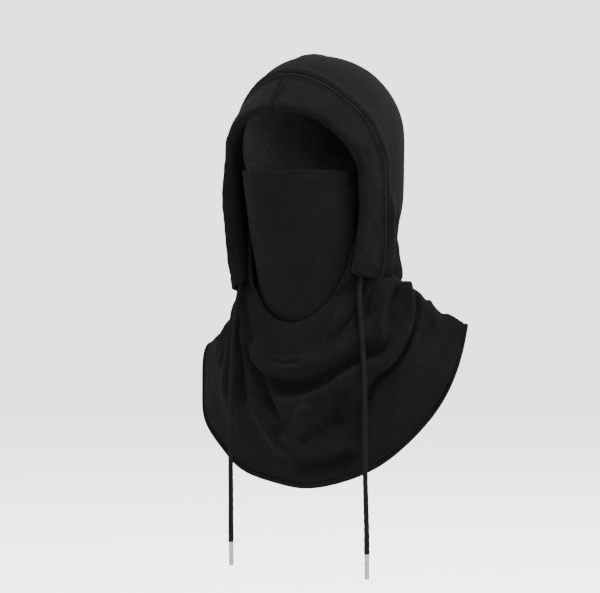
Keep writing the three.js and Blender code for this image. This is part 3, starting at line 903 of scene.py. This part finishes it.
def cape_panel(label, angles, top, columns):
    """The front or the back of the cape, with its hem."""
    start, end = angles
    shares = [np.linspace(0, 0.95, 165), np.linspace(0.95, 1, 22)[1:-1], [0.9985, 0.9995, 1.0]]
    depth_rows = top + (1 - top) * np.concatenate(shares)
    angle, depth = np.meshgrid(np.linspace(start, end, columns), depth_rows, indexing="ij")
    outer = cape_surface(angle, depth)
    normals = grid_normals(outer, INSIDE_CAPE)
    from_hem = (1 - depth) * DEPTH
    thickness = (1.3 + 0.9 * smooth(from_hem, HEM * 1.15, HEM * 0.95)) * MM
    half = thickness * edge_profile(from_hem + 0.05 * MM, 2.4 * MM)
    middle = outer - normals * thickness[..., None]
    made = shell(f"Cape_{label}", middle, half, FLEECE, outwards_from=INSIDE_CAPE)
    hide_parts(f"cape_{label}", f"cape_hem_{label}")
    row = np.searchsorted(depth_rows, 1 - HEM / DEPTH)
    stitches(f"Cape_{label}_hem_stitches", outer[2:-2, row], normals[2:-2, row])


def chin_band():
    """The smooth band under the chin. Its rim runs on upwards at both sides, inside the brim."""
    angles = np.linspace(-93, 93, 290)
    rows = rounded_rows(70, 0.04)
    angle, row = np.meshgrid(angles, rows, indexing="ij")
    below = 36 * MM  # from the neckline to the band's lower edge
    deepest = CHIN_BAND + 0.014  # the band runs a little way under the cape
    above = 233 * MM * (1 - np.cos(np.radians(angle))) ** 2.35
    above = above / (1 + (above / (85 * MM)) ** 4) ** 0.25
    along = row * (above + below) - above
    bend = 6 * MM
    upward = (np.sqrt(along ** 2 + bend ** 2) - along) / 2 - bend / 2 * bell(along, bend)  # turns gently
    upward = np.maximum(upward, 0)
    downward = np.clip(along + upward, 0, None)
    share = downward / below
    middle = neck_place(angle, share * deepest, upward)
    normals = grid_normals(middle, INSIDE_NECK)
    lift = 1.6 * MM * np.sin(np.clip(share, 0, 1) * math.pi) + 0.5 * MM * waves(angle * 0.12, row * 3, 41)
    lift = lift + cape_lift(angle, share * deepest) * smooth(share, 0.0, 0.3)
    lift = lift - 1.0 * MM * smooth(share, 0.9, 1.0)
    lift = lift - 4.0 * MM * bell(angle - 51, 12) * smooth(upward, 6 * MM, 0)  # room for the left cord
    lift = lift + 3.0 * MM * smooth(upward, 0, 9 * MM)  # and for the mask between the upright ends
    middle = middle + normals * (lift - 1.5 * MM)[..., None]
    from_rim = row * (above + below)
    half = 1.8 * MM * edge_profile(from_rim, 2.8 * MM) * edge_profile((1 - row) * below, 2.0 * MM)
    made = shell("Chin_band", middle, half, FLEECE, outwards_from=INSIDE_NECK)
    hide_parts("chin_band")


def nape_elastic():
    """The gathered elastic inside the neckline, round the back."""
    angle, depth = np.meshgrid(np.linspace(115, 245, 160), np.linspace(0.005, 0.06, 8), indexing="ij")
    base = cape_base(angle, depth)
    normals = grid_normals(base, INSIDE_NECK)
    crimp = 0.4 * MM * np.sin(angle * 1.6)
    middle = base - normals * (5.5 * MM + crimp)[..., None]
    made = shell("Nape_elastic", middle, 0.5 * MM, ELASTIC, outwards_from=INSIDE_NECK)
    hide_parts("nape_elastic")


# ------------------------------------------------------------------ mask
MASK_HALF = 60 * MM  # half the mask's width
MASK_TAPER = 0.07  # how much narrower the mask is over the jaw
MASK_DEEP = 50 * MM  # how far the rounded part reaches back
MASK_FRONT = -82 * MM  # y of its foremost line
MASK_TOP = -123 * MM  # z of its upper edge at the nose
MASK_RISE = 8 * MM  # how much higher that edge is at the wearer's right cheek
MASK_LENGTH = 180 * MM
FACE_TURN = 84  # degrees from the front to where the mask starts to run straight back
MASK_SIDE = 110  # and to its end
STRAIGHT = 34 * MM  # how long that straight part is
SLIDE = np.array(next(j for j in frame["joints"] if j["name"] == "mask_pull_down")["axis"])


def mask_surface(angle, down):
    """The mask runs round the face and then straight back along both cheeks, inside the brim."""
    round_face = np.clip(angle, -FACE_TURN, FACE_TURN)
    behind = np.maximum((np.abs(angle) - FACE_TURN) / (MASK_SIDE - FACE_TURN), 0) * STRAIGHT
    sine, cosine = np.sin(np.radians(round_face)), np.cos(np.radians(round_face))
    rise = MASK_RISE * sine ** 2 * np.where(angle > 0, 0.2, 1.0)
    half_width = MASK_HALF * (1 - MASK_TAPER * smooth(down, 0.25, 0.7))
    top = np.stack([half_width * sine, MASK_FRONT + MASK_DEEP * (1 - cosine) + behind, MASK_TOP + rise], -1)
    base = top + SLIDE * (MASK_LENGTH * down)[..., None]
    normals = grid_normals(base, INSIDE_MASK)
    soft = 0.9 * MM * waves(angle * 0.06, down * 7, 51) * smooth(down, 0, 0.08)
    creases = 0.35 * MM * np.sin(down * 95 + 2.5 * np.sin(angle * 0.05)) * bell(down - 0.07, 0.06)
    return base + normals * (soft + creases)[..., None], normals


def mask():
    """The mask's front, the layer behind it and the turned hem along its upper edge."""
    rows = np.concatenate([[0, 0.0006, 0.002, 0.004], np.linspace(0.006, 1, 150)])
    angles = np.linspace(-MASK_SIDE, MASK_SIDE, 220)
    angle, down = np.meshgrid(angles, rows, indexing="ij")
    outer, normals = mask_surface(angle, down)
    half = 0.6 * MM * edge_profile(down * MASK_LENGTH, 0.9 * MM)
    middle = outer - normals * 0.6 * MM
    front = shell("Mask_front", middle, half, MASK_CLOTH, body="mask")
    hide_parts("mask_front")
    middle = outer[:, 8:-1] - normals[:, 8:-1] * 2.9 * MM
    backing = shell("Mask_lining", middle, 0.45 * MM, MASK_CLOTH, body="mask")
    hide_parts("mask_lining")
    angle, down = np.meshgrid(angles, np.linspace(0.002, 0.05, 14), indexing="ij")
    outer, normals = mask_surface(angle, down)
    middle = outer - normals * 1.75 * MM
    hem = shell("Mask_top_hem", middle, 0.45 * MM, MASK_CLOTH, body="mask")
    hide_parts("mask_top_hem")


for hood_side, hood_label in ((1, "left"), (-1, "right")):
    hood_lining(hood_side, hood_label)
    hood_panel(hood_side, hood_label)
    brim(hood_side, hood_label)
    seam_welt(hood_side, hood_label)
crown_seam()
held_cord()
cape_panel("front", (-90, 90), top=CHIN_BAND - 0.004, columns=420)
cape_panel("back", (90, 270), top=-0.09, columns=300)
chin_band()
nape_elastic()
mask()


# ------------------------------------------------------------------ stage and light
FLOOR_RADIUS = 12
FLOOR_SIDES = 64
FLOOR_GAP = 0.12  # from the floor up to the part's lowest point


def stage():
    """A pale round floor below the balaclava."""
    mesh = bpy.data.meshes.new("floor")
    turn = np.linspace(0, 2 * math.pi, FLOOR_SIDES, endpoint=False)
    level = np.full(FLOOR_SIDES, CAD_BOX[0][2] - FLOOR_GAP)
    ring = np.stack([FLOOR_RADIUS * np.cos(turn), FLOOR_RADIUS * np.sin(turn), level], -1)
    mesh.from_pydata(ring.tolist(), [], [list(range(FLOOR_SIDES))])
    floor = bpy.data.objects.new("floor", mesh)
    bpy.context.scene.collection.objects.link(floor)
    pale = bpy.data.materials.new("pale_floor")
    pale.use_nodes = True
    shader = pale.node_tree.nodes["Principled BSDF"]
    shader.inputs["Base Color"].default_value = (0.93, 0.93, 0.935, 1)
    shader.inputs["Roughness"].default_value = 0.9
    mesh.materials.append(pale)


def area_light(name, place, target, size, watts):
    """A white disk light at a place, turned to a target."""
    data = bpy.data.lights.new(name, "AREA")
    data.shape = "DISK"
    data.size = size
    data.energy = watts
    light = bpy.data.objects.new(name, data)
    bpy.context.scene.collection.objects.link(light)
    light.location = place
    light.rotation_euler = (Vector(place) - Vector(target)).to_track_quat("Z", "Y").to_euler()


def lights():
    """White light from all round, and three lights: above, in front and on the wearer's left."""
    world = bpy.data.worlds.new("studio")
    world.use_nodes = True
    background = world.node_tree.nodes["Background"]
    background.inputs["Color"].default_value = (1, 1, 1, 1)
    background.inputs["Strength"].default_value = 2.6
    bpy.context.scene.world = world
    middle = (0, 0, -0.22)
    area_light("key", (0.5, -0.5, 1.9), middle, 0.6, 190)
    area_light("fill", (1.4, -2.2, 0.1), middle, 1.2, 62)
    area_light("rim", (1.7, 0.6, 0.8), middle, 0.9, 34)


stage()
lights()
